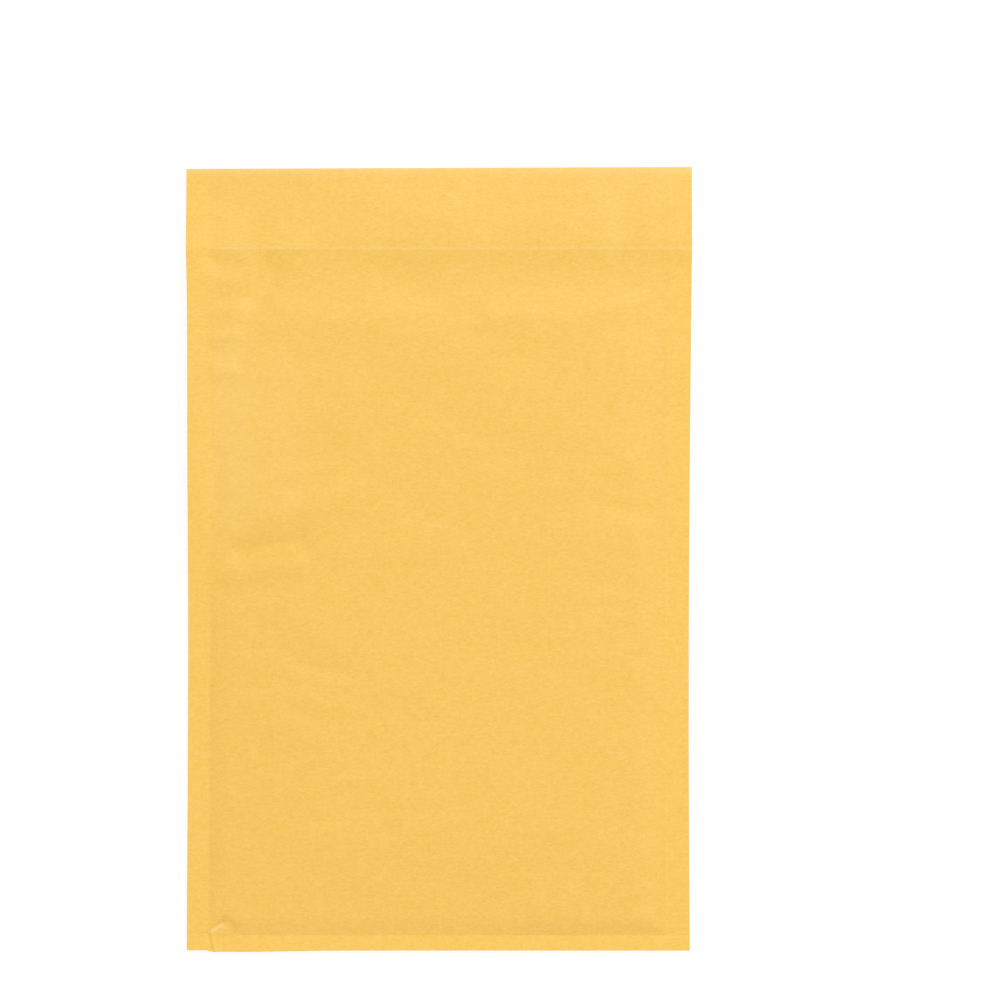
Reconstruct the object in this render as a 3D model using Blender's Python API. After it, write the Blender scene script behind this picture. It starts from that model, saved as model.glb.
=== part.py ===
"""A padded mailing envelope, empty, lying on its back with its sealing flap open.

One web of kraft paper is folded up at the bottom and sealed down both sides, and its
longer half runs on past the mouth as the flap. A web of bubble film is folded inside it
as the padding. Under the flap lie a strip of adhesive and its peel-off release liner.

Frame: +X across the width, +Y towards the flap, +Z up through the thickness. The origin
is under the middle of the outline, on the surface that the envelope lies on. Metres.
"""

import math

import bmesh
import bpy

# Kraft web
SHEET_WIDTH = 0.251
BODY_LENGTH = 0.349
FLAP_LENGTH = 0.040
PAPER = 0.00015
SIDE_SEAL = 0.0105
BOTTOM_TUCK = 0.0085

# Bubble film web
LINING = 0.0034
POCKET_GAP = 0.0006
LINING_INSET = 0.0016
LINING_SETBACK = 0.016

# Peel-and-seal strip under the flap
LINER_WIDTH = 0.030
LINER = 0.0001
LINER_MARGIN = 0.005
ADHESIVE_WIDTH = 0.024
ADHESIVE = 0.00015

# How far in from each edge the padding has lifted the paper to its full height
SIDE_SHOULDER = 0.012
BOTTOM_SHOULDER = 0.014
MOUTH_VALLEY = 0.014
MOUTH_SHOULDER = 0.024

# How the mouth stands open: shares of the full height, and the closed stretch at each end
MOUTH_FULLNESS = 0.66
VALLEY_FULLNESS = 0.56
CORNER_AT_MOUTH = 0.15
CORNER_AT_PADDING = 0.65
MOUTH_CORNER = 0.014
MOUTH_RUN = 0.026

# The padding draws the sides in along the body, and the flap hangs towards the ground
WAIST_PULL = 0.0012
PULL_SPAN = 1.15
FLAP_END_HEIGHT = 0.0026

# Clearance between pieces that lie on each other
SEAT_GAP = 0.0003

# Worked out from the sizes above
FOLD_RADIUS = SEAT_GAP / 2 + PAPER
BOTTOM_Y = -(BODY_LENGTH + FLAP_LENGTH) / 2
CREASE_Y = BOTTOM_Y + BODY_LENGTH
PADDING_Y = BOTTOM_Y + BOTTOM_TUCK
MID_HEIGHT = PAPER + SEAT_GAP + LINING + POCKET_GAP / 2
TOP_HEIGHT = 2 * MID_HEIGHT
SEAL_HEIGHT = MID_HEIGHT + FOLD_RADIUS
RISE = TOP_HEIGHT - SEAL_HEIGHT

# Where the meshes have their lines: shares of a shoulder or a run, and counts of cells
SHOULDER_LINES = (0.13, 0.3, 0.5, 0.75, 1.0)
MOUTH_LINES = (0.0, 0.33, 0.67, 1.0)
RAMP_LINES = (0.0, 0.25, 0.5, 0.75, 1.0)
VALLEY_CELLS = 4
MIDDLE_CELLS = 4
BODY_CELLS = 5
FLAP_CELLS = 4
STRIP_CELLS = 3
FOLD_CELLS = 4


def smooth(share):
    """Share of the way, eased at both ends and held between 0 and 1."""
    share = min(max(share, 0.0), 1.0)
    return share * share * (3 - 2 * share)


def between(low, high, share):
    """Value this share of the way from low to high."""
    return low + (high - low) * share


def shoulder(distance, length):
    """Rise of the paper over the edge of the padding: steep at the seal, level at its end."""
    left = min(max(1 - distance / length, 0.0), 1.0)
    return 1 - left * left


def half_width(y):
    """Half the web's width, which the padding draws in along the body."""
    below = max(CREASE_Y - y, 0.0)
    pull = WAIST_PULL * math.sin(math.pi * below / (PULL_SPAN * BODY_LENGTH))
    return SHEET_WIDTH / 2 - pull


def mouth_share(x, y):
    """How open the mouth is here, as a share of its middle: its two ends lie nearly shut."""
    corner = between(CORNER_AT_MOUTH, CORNER_AT_PADDING, smooth((CREASE_Y - y) / MOUTH_VALLEY))
    from_corner = half_width(y) - SIDE_SEAL - MOUTH_CORNER - abs(x)
    return between(corner, 1.0, smooth(from_corner / MOUTH_RUN))


def front_fullness(x, y):
    """Share of the full height on the front: a ridge at the crease, then a valley."""
    below = CREASE_Y - y
    valley = between(MOUTH_FULLNESS, VALLEY_FULLNESS, smooth(below / MOUTH_VALLEY))
    lifted = smooth((below - MOUTH_VALLEY) / MOUTH_SHOULDER)
    return between(valley * mouth_share(x, y), 1.0, lifted)


def back_fullness(x, y):
    """Share of the full height on the back, from the mouth down."""
    lifted = smooth((CREASE_Y - y) / (MOUTH_VALLEY + MOUTH_SHOULDER))
    return between(MOUTH_FULLNESS * mouth_share(x, y), 1.0, lifted)


def lift(x, y, fullness):
    """Height above the seals, which the sides, the bottom and the mouth each hold down."""
    from_side = half_width(y) - SIDE_SEAL - abs(x)
    sides = shoulder(from_side, SIDE_SHOULDER)
    bottom = shoulder(y - PADDING_Y, BOTTOM_SHOULDER)
    return RISE * min(sides, bottom, fullness(x, y))


def front_height(x, y):
    """Outer face of the front, and of the flap past the crease."""
    at_crease = SEAL_HEIGHT + lift(x, min(y, CREASE_Y), front_fullness)
    along_flap = max(y - CREASE_Y, 0.0) / FLAP_LENGTH
    return between(at_crease, FLAP_END_HEIGHT, along_flap)


def back_height(x, y):
    """Outer face of the back."""
    return TOP_HEIGHT - SEAL_HEIGHT - lift(x, y, back_fullness)


def lowered(height, drop):
    """The same face, moved down by drop."""
    return lambda x, y: height(x, y) - drop


def level(z):
    """A flat face at height z."""
    return lambda x, y: z


def side_offsets(start):
    """Distances of the mesh's lines from the side edge, from start inwards."""
    lines = [SIDE_SEAL + SIDE_SHOULDER * share for share in SHOULDER_LINES]
    mouth = [SIDE_SEAL + MOUTH_CORNER + MOUTH_RUN * share for share in MOUTH_LINES]
    lines += [offset for offset in mouth if offset > lines[-1] + SEAT_GAP]
    return [start] + [offset for offset in lines if offset > start + SEAT_GAP]


def body_rows(start, end):
    """Y of the mesh's lines from start up to end, both inside the body."""
    padding_end = PADDING_Y + BOTTOM_SHOULDER
    ramp_start = CREASE_Y - MOUTH_VALLEY - MOUTH_SHOULDER
    lines = [PADDING_Y + BOTTOM_SHOULDER * share for share in SHOULDER_LINES]
    lines += [between(padding_end, ramp_start, n / BODY_CELLS) for n in range(1, BODY_CELLS)]
    lines += [ramp_start + MOUTH_SHOULDER * share for share in RAMP_LINES]
    lines += [CREASE_Y - MOUTH_VALLEY * (1 - n / VALLEY_CELLS) for n in range(1, VALLEY_CELLS)]
    return [start] + [y for y in lines if start + SEAT_GAP < y < end - SEAT_GAP] + [end]


def even_rows(start, end, cells):
    """Y of evenly spaced lines from start to end."""
    return [between(start, end, n / cells) for n in range(cells + 1)]


def columns_at(y, offsets):
    """X of each line of the mesh at this place along the web."""
    left = [offset - half_width(y) for offset in offsets]
    middle = [between(left[-1], -left[-1], n / MIDDLE_CELLS) for n in range(1, MIDDLE_CELLS)]
    return left + middle + [-x for x in reversed(left)]


def line(mesh, y, offsets, height):
    """One line of vertices across the web, on a face given by its height."""
    return [mesh.verts.new((x, y, height(x, y))) for x in columns_at(y, offsets)]


def skin(mesh, lines):
    """Quads between each line of vertices and the next."""
    for first, second in zip(lines, lines[1:]):
        for n in range(len(first) - 1):
            mesh.faces.new((first[n], first[n + 1], second[n + 1], second[n]))


def fan(mesh, near, chain):
    """Triangles between two near vertices and a longer chain of vertices across from them."""
    for first, second in zip(chain, chain[1:]):
        mesh.faces.new((near[0], first, second))
    mesh.faces.new((near[0], chain[-1], near[1]))


def fold_lines(mesh, front, back):
    """Lines of vertices round the fold, from the front's edge to the back's, both included."""
    lines = [front]
    for n in range(1, FOLD_CELLS):
        angle = math.pi * n / FOLD_CELLS
        turned = []
        for high, low in zip(front, back):
            middle = (high.co + low.co) / 2
            radius = (high.co.z - low.co.z) / 2
            place = (middle.x, middle.y - radius * math.sin(angle),
                     middle.z + radius * math.cos(angle))
            turned.append(mesh.verts.new(place))
        lines.append(turned)
    return lines + [back]


def edge(lines, side):
    """The vertices at one end of every line."""
    return [row[side] for row in lines]


def pouch(offsets, rows, tuck, outer, inner, flap_rows):
    """A web folded into a pouch, closed at its fold and both sides and open at its mouth.

    outer holds the heights of the front's and the back's outer faces, and inner those of
    their inner ones. The hollow starts one line in from each side and tuck lines up from
    the fold. The front runs on past the mouth through flap_rows.
    """
    mesh = bmesh.new()
    front, back = [[line(mesh, y, offsets, face) for y in rows] for face in outer]
    ceiling, floor = [[line(mesh, y, offsets[1:], face) for y in rows[tuck:]] for face in inner]
    corners = [mesh.verts.new((x, rows[-1], inner[0](x, rows[-1])))
               for x in (front[-1][0].co.x, front[-1][-1].co.x)]
    flap_top = [front[-1]] + [line(mesh, y, offsets, outer[0]) for y in flap_rows]
    flap_under = [[corners[0], *ceiling[-1], corners[1]]]
    flap_under += [line(mesh, y, offsets, inner[0]) for y in flap_rows]
    fold = fold_lines(mesh, front[0], back[0])

    for lines in (front, back, ceiling, floor, fold, flap_top, flap_under):
        skin(mesh, lines)
    skin(mesh, [ceiling[0], floor[0]])
    skin(mesh, [floor[-1], back[-1][1:-1]])
    skin(mesh, [flap_top[-1], flap_under[-1]])
    for side, inward in ((0, 1), (-1, -2)):
        mesh.faces.new(edge(fold, side))
        skin(mesh, [edge(front[:-1], side), edge(back[:-1], side)])
        skin(mesh, [edge(ceiling, side), edge(floor, side)])
        skin(mesh, [edge(flap_top, side), edge(flap_under, side)])
        crease_end = [front[-1][side], flap_under[0][side], back[-1][side]]
        fan(mesh, (front[-2][side], back[-2][side]), crease_end)
        seal_end = [ceiling[-1][side], floor[-1][side], back[-1][inward]]
        fan(mesh, (flap_under[0][side], back[-1][side]), seal_end)
    return mesh


def strip(offsets, rows, top, thickness):
    """A thin closed strip that follows the face top."""
    mesh = bmesh.new()
    skin(mesh, [line(mesh, y, offsets, top) for y in rows])
    grown = bmesh.ops.extrude_face_region(mesh, geom=mesh.faces[:])["geom"]
    for vertex in [item for item in grown if isinstance(item, bmesh.types.BMVert)]:
        vertex.co.z -= thickness
    return mesh


def material(name, colour, roughness):
    """A plain Principled material."""
    made = bpy.data.materials.new(name)
    made.use_nodes = True
    shader = made.node_tree.nodes["Principled BSDF"]
    shader.inputs["Base Color"].default_value = (*colour, 1)
    shader.inputs["Roughness"].default_value = roughness
    shader.inputs["Metallic"].default_value = 0.0
    return made


def add_object(name, mesh, finish):
    """Turns a finished bmesh into a named object with its material."""
    bmesh.ops.recalc_face_normals(mesh, faces=mesh.faces[:])
    data = bpy.data.meshes.new(name)
    mesh.to_mesh(data)
    mesh.free()
    data.materials.append(finish)
    data.shade_smooth()
    data.set_sharp_from_angle(angle=math.radians(35))
    bpy.context.scene.collection.objects.link(bpy.data.objects.new(name, data))


def add_kraft_envelope():
    """The folded kraft web: front and flap, back, and the two sealed sides."""
    rows = [BOTTOM_Y + FOLD_RADIUS] + body_rows(PADDING_Y, CREASE_Y)
    flap = even_rows(CREASE_Y, CREASE_Y + FLAP_LENGTH, FLAP_CELLS)[1:]
    outer = (front_height, back_height)
    inner = (lowered(front_height, PAPER), lowered(back_height, -PAPER))
    mesh = pouch([0.0] + side_offsets(SIDE_SEAL), rows, 0, outer, inner, flap)
    add_object("kraft_envelope", mesh, material("golden_kraft_paper", (0.965, 0.604, 0.144), 0.62))


def add_bubble_lining():
    """The folded bubble film, as the space that its bubbles fill, with the pocket in it."""
    reach = PAPER + SEAT_GAP
    rows = body_rows(PADDING_Y + LINING_INSET, CREASE_Y - LINING_SETBACK)
    outer = (lowered(front_height, reach), lowered(back_height, -reach))
    inner = (level(MID_HEIGHT + POCKET_GAP / 2), level(MID_HEIGHT - POCKET_GAP / 2))
    mesh = pouch(side_offsets(SIDE_SEAL + LINING_INSET), rows, 1, outer, inner, [])
    add_object("bubble_lining", mesh, material("clear_bubble_film", (0.84, 0.88, 0.90), 0.25))


def add_flap_strip(name, width, drop, thickness, finish):
    """A full-width strip under the flap, centred on the liner, this far below the paper."""
    centre = CREASE_Y + FLAP_LENGTH - LINER_MARGIN - LINER_WIDTH / 2
    rows = even_rows(centre - width / 2, centre + width / 2, STRIP_CELLS)
    top = lowered(front_height, PAPER + drop)
    add_object(name, strip([0.0] + side_offsets(SIDE_SEAL), rows, top, thickness), finish)


def add_seal():
    """The adhesive on the flap and the release liner that covers it."""
    tack = material("pressure_sensitive_adhesive", (0.86, 0.80, 0.62), 0.3)
    release = material("silicone_release_paper", (0.90, 0.83, 0.80), 0.4)
    add_flap_strip("adhesive_strip", ADHESIVE_WIDTH, SEAT_GAP, ADHESIVE, tack)
    liner_drop = SEAT_GAP + ADHESIVE + SEAT_GAP
    add_flap_strip("release_liner", LINER_WIDTH, liner_drop, LINER, release)


for old in list(bpy.data.objects):
    bpy.data.objects.remove(old)
add_kraft_envelope()
add_bubble_lining()
add_seal()
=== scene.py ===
"""Looks of a padded mailing envelope: golden kraft paper lined with bubble film.

The envelope lies on its back on a pale floor with its flap open, seen from straight above.
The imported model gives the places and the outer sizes, and every shape here is worked out in
that frame: +X across the width, +Y towards the flap, +Z up. Sizes that end in _mm are in
millimetres and are turned to metres where a mesh is written.
"""

import logging
import math
from dataclasses import dataclass
from enum import Enum
from typing import Callable, Optional, Sequence

import bpy
import numpy as np
from bpy.types import Material, Node, NodeSocket, NodeTree, Object
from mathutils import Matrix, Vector

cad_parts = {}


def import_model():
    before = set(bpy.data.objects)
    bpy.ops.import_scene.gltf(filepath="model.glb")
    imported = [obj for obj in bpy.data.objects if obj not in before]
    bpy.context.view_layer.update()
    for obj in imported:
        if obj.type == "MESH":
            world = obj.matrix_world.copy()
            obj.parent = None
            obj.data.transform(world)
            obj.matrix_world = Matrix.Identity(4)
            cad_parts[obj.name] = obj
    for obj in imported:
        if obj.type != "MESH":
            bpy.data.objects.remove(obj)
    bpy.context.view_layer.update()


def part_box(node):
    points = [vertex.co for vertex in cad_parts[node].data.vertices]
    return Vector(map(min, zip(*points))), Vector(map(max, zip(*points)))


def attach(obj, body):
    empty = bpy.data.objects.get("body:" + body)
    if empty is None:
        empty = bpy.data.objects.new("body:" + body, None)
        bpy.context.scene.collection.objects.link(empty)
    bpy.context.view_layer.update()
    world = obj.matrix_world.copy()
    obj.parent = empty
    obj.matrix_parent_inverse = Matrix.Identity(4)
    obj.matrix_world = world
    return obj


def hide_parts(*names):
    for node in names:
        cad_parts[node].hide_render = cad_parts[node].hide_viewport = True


MM = 0.001
BODY = "root"
WHITE = (1.0, 1.0, 1.0, 1.0)
NOISE_SPAN = (0.3, 0.7)
LOG = logging.getLogger("padded_envelope")
Array = np.ndarray
Field = Callable[[Array], Array]
Socket = NodeSocket


def linear(hex_colour: str) -> tuple[float, float, float, float]:
    """Turns the six hex digits of an sRGB colour into linear RGBA with an alpha of 1."""
    shares = [int(hex_colour[n:n + 2], 16) / 255 for n in (0, 2, 4)]
    red, green, blue = [
        share / 12.92 if share <= 0.04045 else ((share + 0.055) / 1.055) ** 2.4
        for share in shares
    ]
    return (red, green, blue, 1.0)


@dataclass(frozen=True)
class Nodes:
    """A node tree, with the steps that the finishes here are made of.

    Each step that returns a socket adds a node and hands on its result.
    """

    tree: NodeTree

    def add(self, kind: str, inputs: Optional[dict] = None, **settings: object) -> Node:
        """Adds a node of this type, sets its own properties and fills its inputs."""
        made = self.tree.nodes.new(kind)
        for name, value in settings.items():
            setattr(made, name, value)
        self.fill(made, inputs or {})
        return made

    def fill(self, node: Node, inputs: dict) -> None:
        """Gives a node's inputs, by name or number, a value or a socket to link from."""
        for name, value in inputs.items():
            if isinstance(value, Socket):
                self.tree.links.new(value, node.inputs[name])
            else:
                node.inputs[name].default_value = value

    def sheet(self) -> Socket:
        """The flat sheet's own coordinates, in metres."""
        return self.add("ShaderNodeUVMap", uv_map="sheet").outputs["UV"]

    def mask(self, name: str) -> Socket:
        """The value that add_mask has stored under this name."""
        return self.add("ShaderNodeAttribute", attribute_name=name).outputs["Fac"]

    def math(self, operation: str, *values: object) -> Socket:
        """The result of one step of arithmetic on numbers or sockets."""
        return self.add("ShaderNodeMath", dict(enumerate(values)), operation=operation).outputs[0]

    def stretch(self, place: Socket, across_mm: float, along_mm: float,
                turn: float = 0.0) -> Socket:
        """The place counted in units of these lengths each way, after a turn."""
        return self.add("ShaderNodeMapping", {
            "Vector": place, "Rotation": (0.0, 0.0, turn),
            "Scale": (1 / (across_mm * MM), 1 / (along_mm * MM), 1.0)}).outputs["Vector"]

    def noise(self, place: Socket, scale: float, detail: float, roughness: float = 0.5) -> Socket:
        """Noise over a place, most of which lies within NOISE_SPAN."""
        return self.add("ShaderNodeTexNoise", {
            "Vector": place, "Scale": scale, "Detail": detail,
            "Roughness": roughness}).outputs["Fac"]

    def remap(self, value: Socket, span: tuple[float, float], result: tuple[float, float],
              clamp: bool = True) -> Socket:
        """The value moved from one span onto another."""
        return self.add("ShaderNodeMapRange", {
            "Value": value, "From Min": span[0], "From Max": span[1],
            "To Min": result[0], "To Max": result[1]}, clamp=clamp).outputs["Result"]

    def mix(self, share: object, first: object, second: object, clamp: bool = True) -> Socket:
        """The colour this share of the way between two, each a socket or hex digits."""
        ends = [linear(end) if isinstance(end, str) else end for end in (first, second)]
        return self.add("ShaderNodeMix", {0: share, 6: ends[0], 7: ends[1]},
                        data_type="RGBA", clamp_factor=clamp).outputs[2]

    def bump(self, height: Socket, depth_mm: float, strength: float = 1.0,
             under: Optional[Socket] = None) -> Socket:
        """A normal with relief of this depth, laid over the one under it."""
        made = self.add("ShaderNodeBump", {
            "Height": height, "Strength": strength, "Distance": depth_mm * MM})
        if under is not None:
            self.fill(made, {"Normal": under})
        return made.outputs["Normal"]


def new_material(name: str) -> tuple[Material, Nodes, Node]:
    """Makes a material and returns it with its nodes and its Principled shader."""
    made = bpy.data.materials.new(name)
    made.use_nodes = True
    return made, Nodes(made.node_tree), made.node_tree.nodes["Principled BSDF"]


def smooth(share: Array) -> Array:
    """Share of the way, eased at both ends and held between 0 and 1."""
    held = np.clip(share, 0.0, 1.0)
    return held * held * (3 - 2 * held)


def between(low: Array, high: Array, share: Array) -> Array:
    """Value this share of the way from low to high."""
    return low + (high - low) * share


def quick_rise(share: Array) -> Array:
    """Share of the way up, steep at its start and level at its end."""
    return 1 - (1 - np.clip(share, 0.0, 1.0)) ** 2


def soft_min(first: Array, second: Array, blend: float) -> Array:
    """The lower of two fields, rounded over where they cross.

    Args:
        first: one field.
        second: the other.
        blend: how near the two must be for the rounding to start.

    Returns:
        The blended minimum, which is never above either.
    """
    share = np.clip(0.5 + 0.5 * (second - first) / blend, 0.0, 1.0)
    return between(second, first, share) - blend * share * (1 - share)


def graded_lines(knots: Sequence[tuple[float, float]]) -> Array:
    """Places of grid lines whose spacing changes along a length.

    Args:
        knots: places, each with the spacing wanted there, from the first line to the last.

    Returns:
        The places of the lines, both ends included.
    """
    places, spacings = zip(*knots)
    fine = np.linspace(places[0], places[-1], 6000)
    each = np.diff(fine) / np.interp(fine[1:], places, spacings)
    counts = np.concatenate(([0.0], np.cumsum(each)))
    cells = max(round(counts[-1]), 1)
    return np.interp(np.linspace(0, counts[-1], cells + 1), counts, fine)


@dataclass(frozen=True)
class Dent:
    """A crease, pucker or dimple in the paper, along a short straight run.

    A positive height is a ridge and a negative one a groove. Places are in millimetres.
    """

    start_x: float
    start_y: float
    end_x: float
    end_y: float
    height: float
    width: float

    def relief(self, x: Array, y: Array) -> Array:
        """Height that it adds at each point."""
        run_x, run_y = self.end_x - self.start_x, self.end_y - self.start_y
        from_x, from_y = x - self.start_x, y - self.start_y
        along = (from_x * run_x + from_y * run_y) / (run_x ** 2 + run_y ** 2)
        held = np.clip(along, 0.0, 1.0)
        away = np.hypot(from_x - run_x * held, from_y - run_y * held)
        return self.height * np.exp(-(away / self.width) ** 2)


FRONT_DENTS = [Dent(*row) for row in (
    # The padding's upper left corner: a diagonal groove, and puckers across the soft seam
    (-83.0, 142.5, -90.0, 129.0, -1.55, 7.0),
    (-110.0, 146.8, -103.0, 146.2, -0.85, 4.6),
    (-111.0, 136.0, -102.0, 137.5, 0.55, 3.8),
    (-111.0, 122.6, -103.0, 122.6, 0.55, 4.5),
    (-110.0, 109.4, -101.5, 110.4, 0.74, 3.9),
    (-110.5, 93.8, -103.0, 93.4, 0.84, 4.1),
    (-110.0, 73.6, -103.6, 74.6, 0.30, 3.4),
    (-110.2, 53.0, -110.4, 28.0, -0.46, 3.6),
    # The pinched fold that runs in from the left seal at half height
    (-98.3, 3.6, -69.5, 9.0, -1.60, 5.2),
    (-64.5, 12.8, -57.0, 13.6, -0.30, 5.0),
    (-86.0, 21.0, -55.0, 28.0, 0.60, 6.2),
    (-70.0, 33.4, -57.6, 41.0, -0.50, 4.9),
    (-101.0, 49.0, -83.0, 41.5, -0.26, 5.2),
    (-98.0, -7.6, -70.0, -1.6, 0.54, 3.8),
    (-106.6, -8.6, -100.4, -9.6, 0.76, 4.2),
    (-107.2, -11.0, -108.4, -15.4, -0.50, 4.0),
    (-89.0, -16.6, -80.0, -17.6, -0.22, 3.0),
    # A raised lip along the crease at the left, and a shallow dip in the padding below it
    (-101.0, 155.4, -66.0, 155.2, 0.16, 4.0),
    (-16.0, 116.5, 14.0, 124.0, -0.42, 3.6),
    # Faint handling creases
    (-70.0, -52.0, -40.0, -58.5, -0.42, 3.4),
    (-74.0, -62.0, -46.0, -66.5, -0.28, 3.0),
    (-78.0, -76.0, -58.0, -79.0, -0.28, 3.2),
    (-96.0, -38.0, -78.0, -41.0, 0.24, 3.2),
    (-19.5, 47.6, -4.2, 47.0, -0.30, 4.0),
    (79.0, 26.7, 102.0, 21.8, -0.42, 4.0),
    (94.5, -47.7, 101.0, -48.6, -0.30, 3.2),
    (79.0, -12.0, 94.5, -15.2, -0.26, 3.4),
    (110.9, -20.0, 111.1, -122.0, -0.06, 0.6),
    # The bottom left corner: a small tent of paper pinched up against the seals
    (-113.5, -184.2, -107.2, -180.4, -0.60, 1.3),
    (-112.6, -185.4, -108.0, -183.0, 0.55, 0.62),
    (-111.0, -186.6, -106.0, -184.2, 0.50, 1.5),
    (-115.3, -185.6, -115.2, -185.5, -0.70, 0.9),
    (-114.2, -186.6, -112.6, -194.0, -0.34, 0.8),
    (-112.8, -186.6, -111.2, -194.0, 0.46, 1.0),
    (-125.0, -185.9, -116.5, -185.7, -0.20, 0.7),
    # The bottom right corner, where the padding swells above the end of the tuck
    (101.5, -177.0, 103.6, -178.0, 0.50, 4.8),
    (107.0, -184.8, 114.6, -186.2, -0.22, 1.2),
    (110.4, -173.4, 110.8, -172.0, 0.26, 3.0),
    (105.6, -187.6, 107.4, -190.6, 0.22, 1.4),
)]

BACK_DENTS = [Dent(*row) for row in (
    (104.0, 96.0, 102.0, 95.0, 0.30, 4.5),
    (105.0, 61.0, 103.0, 60.2, 0.24, 4.0),
    (-104.0, -40.0, -82.0, -33.0, 0.26, 3.4),
    (103.5, -181.8, 110.5, -184.2, 0.50, 2.2),
    (-110.0, -184.0, -104.0, -181.0, 0.45, 2.2),
    (74.0, 141.0, 97.0, 126.0, 0.40, 4.0),
)]


@dataclass(frozen=True)
class EnvelopeForm:
    """The shape that the padding gives the paper, as fields of height over the floor plan.

    half_mm, bottom_mm, top_mm and thick_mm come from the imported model, and the rest say how
    wide the seals and the tuck are and how the paper rises from them.
    """

    half_mm: float
    bottom_mm: float
    top_mm: float
    thick_mm: float
    flap_mm: float = 40.8
    seal_mm: float = 10.8
    tuck_mm: float = 8.1
    paper_mm: float = 0.15
    film_mm: float = 0.08
    ply_mm: float = 0.17
    crushed_mm: float = 0.19
    left_pull_mm: float = 1.1
    right_pull_mm: float = 1.6
    plateau_drop_mm: float = 0.30
    ridge_share: float = 0.70
    valley_share: float = 0.43
    valley_mm: float = 13.0
    ramp_mm: float = 25.0
    quick_left: float = 0.46
    quick_right: float = 0.66
    quick_back: float = 0.80
    corner_mm: float = 14.0
    corner_run_mm: float = 24.0
    flap_end_mm: float = 3.2
    side_mm: float = 60.0
    soft_left_mm: float = 40.0
    soft_right_mm: float = 24.0
    crisp_left_mm: float = 11.5
    crisp_right_mm: float = 13.5
    crisp_bottom_mm: float = 11.2
    far_side_mm: tuple[float, float] = (62.0, 58.0)
    far_bottom_mm: float = 62.0
    seed: int = 11

    @classmethod
    def from_frame(cls) -> "EnvelopeForm":
        """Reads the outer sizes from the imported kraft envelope."""
        low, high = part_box("kraft_envelope")
        return cls(half_mm=high[0] / MM, bottom_mm=low[1] / MM, top_mm=high[1] / MM,
                   thick_mm=high[2] / MM)

    @property
    def crease_mm(self) -> float:
        """Y of the crease between the front and the flap, and of the mouth's edge."""
        return self.top_mm - self.flap_mm

    @property
    def marks(self) -> tuple[float, float, float]:
        """Y of the bottom fold, of the tuck's upper end and of the crease."""
        return self.bottom_mm + self.ply_mm, self.bottom_mm + self.tuck_mm, self.crease_mm

    @property
    def middle_mm(self) -> float:
        """Height at which the two halves of the web meet in the seals."""
        return self.thick_mm / 2

    def sided(self, left: float, right: float, x: Array) -> Array:
        """Value that is one thing in the left half and eases to another on the right."""
        return between(left, right, smooth(x / self.side_mm))

    def left_edge(self, y: Array) -> Array:
        """X of the left side, which the padding draws in a little along the body."""
        share = np.clip((self.crease_mm - y) / (1.15 * (self.crease_mm - self.bottom_mm)), 0, 1)
        curled = 0.36 * np.exp(-((self.crease_mm - y - 25.0) / 45.0) ** 2)
        return -(self.half_mm - 0.1) + self.left_pull_mm * np.sin(math.pi * share ** 0.75) + curled

    def right_edge(self, y: Array) -> Array:
        """X of the right side, which is drawn in more and lower down."""
        share = np.clip((self.crease_mm - y) / (1.3 * (self.crease_mm - self.bottom_mm)), 0, 1)
        return self.half_mm - self.right_pull_mm * np.sin(math.pi * share)

    def across(self, x: Array, y: Array) -> Array:
        """Real x of a point that lies at x on a straight-sided web."""
        share = np.abs(x) / self.half_mm
        return np.where(x < 0, self.left_edge(y), self.right_edge(y)) * share

    def along(self, x: Array, y: Array) -> Array:
        """Real y of a point: the bottom fold sags a little and the flap is cut a hair askew."""
        inside = smooth((x - self.left_edge(y) - self.seal_mm + 1.0) / 2.0)
        sag = 0.35 - inside * (0.1 + 0.65 * np.exp(-((x + 98.0) / 32.0) ** 2))
        near_fold = 1 - smooth((y - self.bottom_mm) / 9.0)
        askew = -0.45 + 0.5 * x / self.half_mm
        on_flap = smooth((y - self.crease_mm) / self.flap_mm)
        return y + sag * near_fold + askew * on_flap

    def ripple(self, x: Array, y: Array, salt: int) -> Array:
        """Gentle unevenness of paper that lies on bubbles, in millimetres."""
        random = np.random.default_rng(self.seed + salt)
        total = np.zeros(np.broadcast(x, y).shape)
        for _ in range(32):
            wavelength = random.uniform(9.0, 52.0)
            angle = random.normal(math.pi / 2 + 0.15, 0.45)
            phase = random.uniform(0, 2 * math.pi)
            turns = (x * math.cos(angle) + y * math.sin(angle)) / wavelength
            total += wavelength * np.sin(2 * math.pi * turns + phase)
        return total * 0.0010 * between(1.3, 0.7, smooth((x + 60.0) / 120.0))

    def seam_middle(self, y: Array) -> Array:
        """Height of the joint between the two halves, which waves a little along the seals."""
        return self.middle_mm + 0.16 * np.sin(y / 31.0 + 0.6) + 0.10 * np.sin(y / 13.0)

    def lift(self, x: Array, y: Array) -> Array:
        """How much higher the seals lie at the mouth and along the upper left."""
        at_mouth = 1 - quick_rise((self.crease_mm - y) / 15.0)
        mouth = self.sided(0.3, 1.3, x) * at_mouth
        upper_left = 4.2 * smooth(-x / self.side_mm) + 0.6 * smooth(-(x + 106.0) / 19.0)
        upper_left = upper_left * smooth((y + 45.0) / 105.0)
        return np.maximum(mouth, upper_left)

    def half_ply(self, y: Array) -> Array:
        """Half the seal's thickness, which is less below the film's fold."""
        film = smooth((y - self.bottom_mm - self.tuck_mm + 0.3) / 0.8)
        return self.ply_mm + self.crushed_mm * film

    def corner_share(self, x: Array, below: Array) -> Array:
        """How open the mouth is here, as a share of its middle: its two ends lie nearly shut."""
        end = self.sided(0.12, 0.40, x)
        corner = between(end, 0.80, smooth(below / self.valley_mm))
        inner = self.half_mm - self.seal_mm - self.corner_mm - np.abs(x)
        return between(corner, 1.0, smooth(inner / self.corner_run_mm))

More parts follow.
